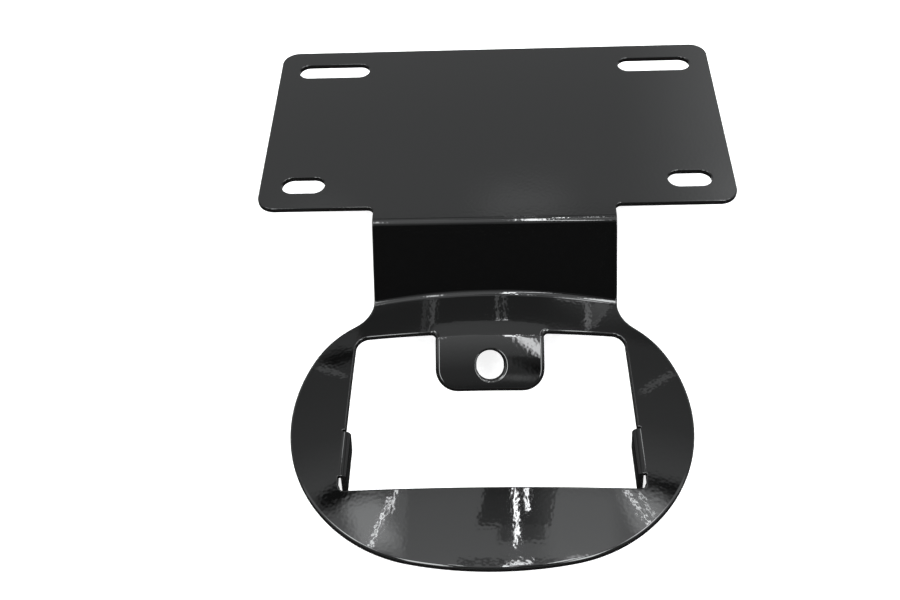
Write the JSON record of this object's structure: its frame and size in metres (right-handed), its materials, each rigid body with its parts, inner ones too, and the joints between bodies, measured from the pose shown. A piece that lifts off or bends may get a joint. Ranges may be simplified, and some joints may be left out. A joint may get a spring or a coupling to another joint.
{
  "type": "license plate relocation bracket",
  "caption": "Folded sheet metal bracket: a slotted number plate panel on an offset neck that ends in a bowed oval ring with a window, a bolt tab and folded lips.",
  "frame": {"origin": "middle of the plate panel's face", "axes": "+Z out of the plate panel's face, +Y from the ring towards the panel along the sheet, +X across the panel"},
  "size_m": [0.1778, 0.2257, 0.0432],
  "materials": {
    "gloss_black_coat": "smooth gloss black powder coat on steel sheet"
  },
  "bodies": {
    "root": {"bracket": "gloss_black_coat"}
  },
  "joints": []
}
